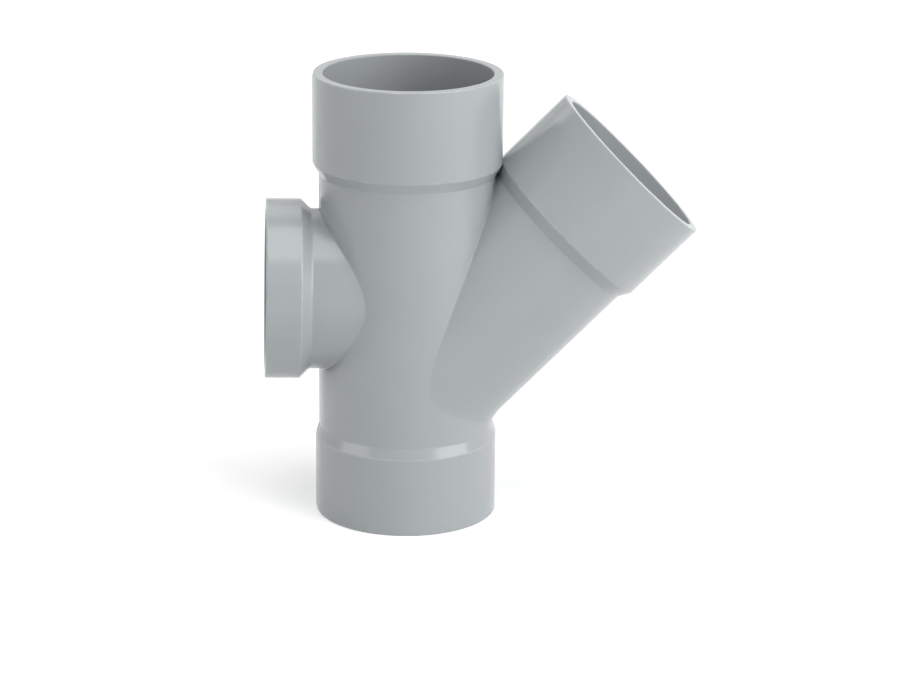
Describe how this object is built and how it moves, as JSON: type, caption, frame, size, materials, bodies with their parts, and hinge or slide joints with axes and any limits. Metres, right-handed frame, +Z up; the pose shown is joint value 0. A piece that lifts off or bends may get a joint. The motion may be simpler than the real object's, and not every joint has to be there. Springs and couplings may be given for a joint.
{
  "type": "double branch drainage fitting",
  "caption": "Moulded grey drainage fitting: an upright run with a plain socket at each end, a 45 degree branch with the same socket, and a short side inlet opposite it.",
  "frame": {"origin": "centre of the foot socket's mouth, on the plane of the foot rim", "axes": "+Z up the run to the top socket, +X to the side of the 45 degree branch, +Y across the fitting"},
  "size_m": [0.1292, 0.056, 0.135],
  "materials": {
    "grey_plastic": "satin moulded rigid plastic"
  },
  "bodies": {
    "root": {"fitting_body": "grey_plastic"}
  },
  "joints": []
}
